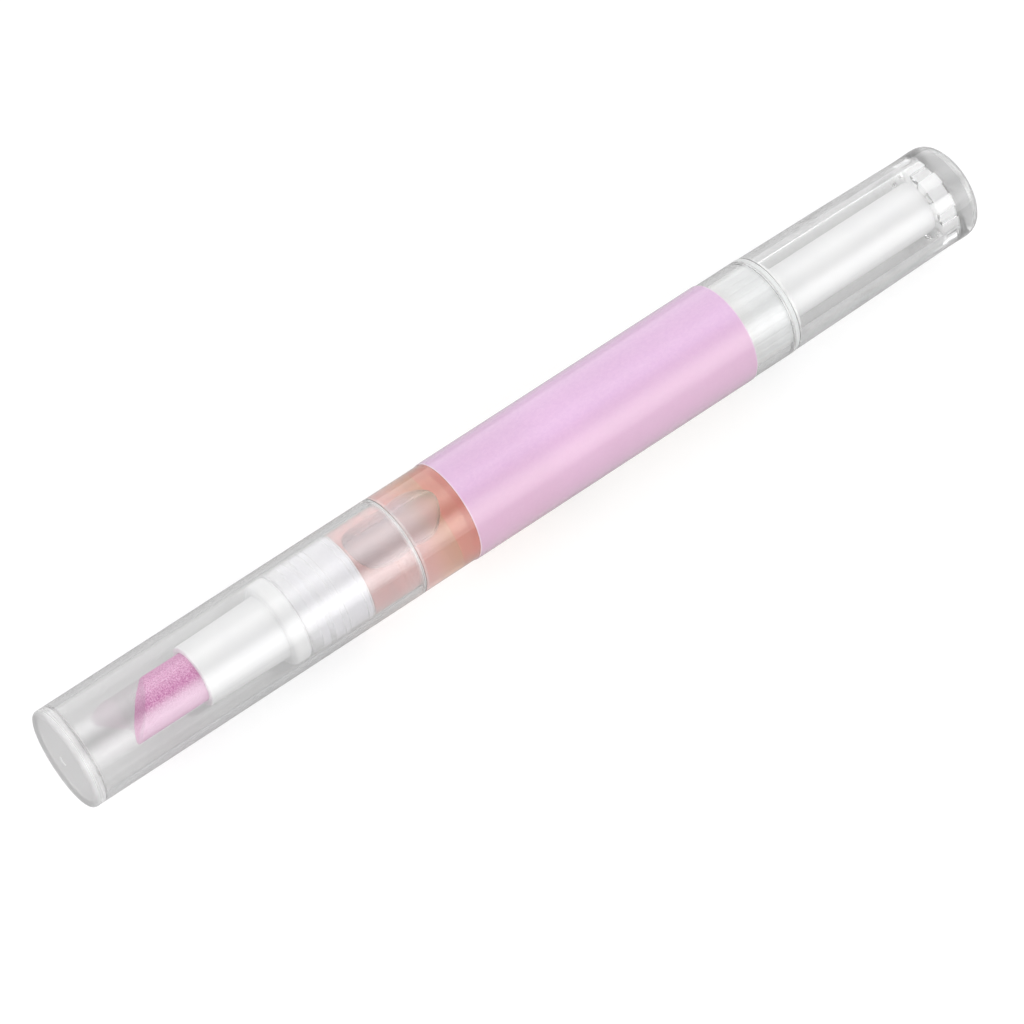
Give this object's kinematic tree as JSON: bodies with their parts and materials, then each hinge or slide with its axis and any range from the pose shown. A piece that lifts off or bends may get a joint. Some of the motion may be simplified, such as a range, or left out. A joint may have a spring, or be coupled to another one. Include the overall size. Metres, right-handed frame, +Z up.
{
  "type": "twist-up nail oil pen",
  "caption": "Twist-up pen that brushes nail oil through a slanted felt nib; the knob at its rear screws a piston forward and the clear cap pulls off.",
  "frame": {"origin": "on the surface the pen lies on, under the middle of its length", "axes": "+X along the pen from the capped nib to the knob, +Z up"},
  "size_m": [0.1296, 0.013, 0.013],
  "materials": {
    "clear_cap": "satin",
    "clear_barrel": "gloss",
    "clear_knob": "gloss",
    "felt": "matte",
    "white_plastic": "gloss",
    "milky_plastic": "satin",
    "lilac_film": "satin",
    "orange_oil": "gloss"
  },
  "bodies": {
    "body": {"nib": "felt", "nib_holder": "white_plastic", "seal_plug": "white_plastic", "barrel": "clear_barrel", "label_sleeve": "lilac_film", "oil": "orange_oil", "drive_nut": "milky_plastic"},
    "cap": {"cap": "clear_cap"},
    "knob": {"knob_shell": "clear_knob", "knob_core": "white_plastic", "click_ring": "milky_plastic"},
    "piston": {"piston": "white_plastic"},
    "rod": {"screw_rod": "white_plastic"}
  },
  "joints": [
    {"name": "cap_pull", "type": "slide", "parent": "body", "child": "cap", "axis": [-1, 0, 0], "range_m": [0, 0.05]},
    {"name": "knob_turn", "type": "hinge", "parent": "body", "child": "knob", "pos_m": [0.05, 0, 0.00651], "axis": [-1, 0, 0], "range_deg": [0, 3600]},
    {"name": "piston_push", "type": "slide", "parent": "body", "child": "piston", "axis": [-1, 0, 0], "range_m": [0, 0.025], "deforming": ["oil"]},
    {"name": "rod_turn", "type": "hinge", "parent": "piston", "child": "rod", "pos_m": [0.01, 0, 0.00651], "axis": [-1, 0, 0], "range_deg": [0, 3600]}
  ],
  "couplings": [
    {"joint": "piston_push", "follows": "knob_turn", "m_per_rad": 0.00039789},
    {"joint": "rod_turn", "follows": "knob_turn", "ratio": 1}
  ]
}
